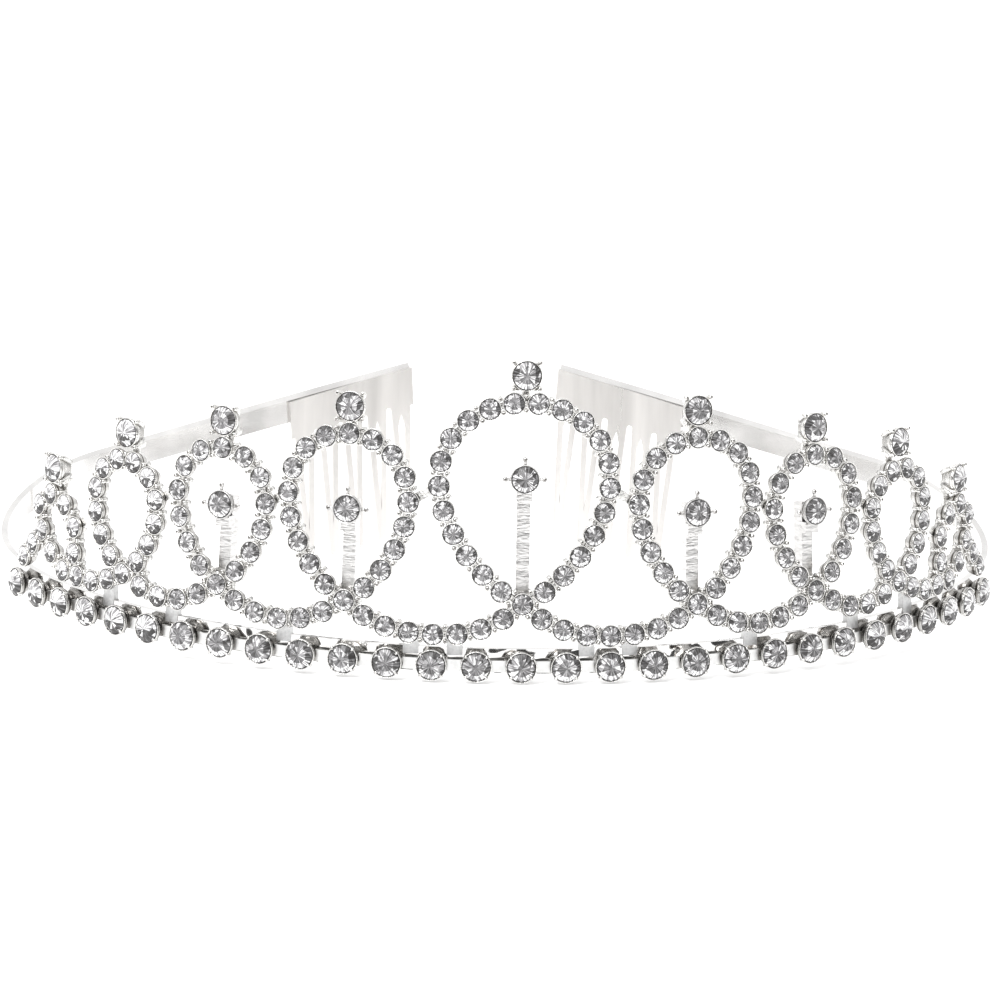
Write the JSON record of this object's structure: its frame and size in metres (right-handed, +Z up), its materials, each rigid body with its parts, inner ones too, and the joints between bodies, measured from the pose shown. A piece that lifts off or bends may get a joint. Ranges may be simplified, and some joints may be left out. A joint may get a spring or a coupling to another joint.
{
  "type": "bridal tiara",
  "caption": "Silver-tone hair tiara: sprung headband with a comb at each rear end, a front row of set stones and an openwork of stone-set teardrop loops.",
  "frame": {"origin": "on the table, under the middle of the tiara's box, with the tiara standing on its front cups and comb tips", "axes": "+Z up, -Y towards the front with the stones, +X to the right as seen from the front; the tiara is symmetric about X"},
  "size_m": [0.154, 0.1028, 0.0472],
  "materials": {
    "band_metal": "polished silver plate",
    "comb_metal": "smooth stamped strip, silver plated",
    "setting_metal": "bright silver plate",
    "spike_metal": "finely hammered and brushed",
    "post_metal": "frosted silver plate",
    "link_metal": "satin silver plate",
    "crystal": "cut, foil backed"
  },
  "bodies": {
    "root": {"bridge_bars": "setting_metal", "chain_cups": "setting_metal", "chain_links": "link_metal", "chain_stones": "crystal", "comb_left": "comb_metal", "comb_right": "comb_metal", "end_brace_left": "setting_metal", "end_brace_right": "setting_metal", "finial_1_centre": "setting_metal", "finial_2_left": "setting_metal", "finial_2_right": "setting_metal", "finial_3_left": "setting_metal", "finial_3_right": "setting_metal", "finial_4_left": "setting_metal", "finial_4_right": "setting_metal", "finial_5_left": "setting_metal", "finial_5_right": "setting_metal", "finial_stones": "crystal", "headband": "band_metal", "loop_1_centre": "setting_metal", "loop_2_left": "setting_metal", "loop_2_right": "setting_metal", "loop_3_left": "setting_metal", "loop_3_right": "setting_metal", "loop_4_left": "setting_metal", "loop_4_right": "setting_metal", "loop_5_left": "setting_metal", "loop_5_right": "setting_metal", "mounting_posts": "post_metal", "spike_1_centre": "spike_metal", "spike_2_left": "spike_metal", "spike_2_right": "spike_metal", "spike_3_left": "spike_metal", "spike_3_right": "spike_metal", "spike_stones": "crystal", "stones_loop_1_centre": "crystal", "stones_loop_2_left": "crystal", "stones_loop_2_right": "crystal", "stones_loop_3_left": "crystal", "stones_loop_3_right": "crystal", "stones_loop_4_left": "crystal", "stones_loop_4_right": "crystal", "stones_loop_5_left": "crystal", "stones_loop_5_right": "crystal", "swag_1_left": "setting_metal", "swag_1_right": "setting_metal", "swag_2_left": "setting_metal", "swag_2_right": "setting_metal", "swag_3_left": "setting_metal", "swag_3_right": "setting_metal", "swag_4_left": "setting_metal", "swag_4_right": "setting_metal", "swag_stones_left": "crystal", "swag_stones_right": "crystal"}
  },
  "joints": []
}
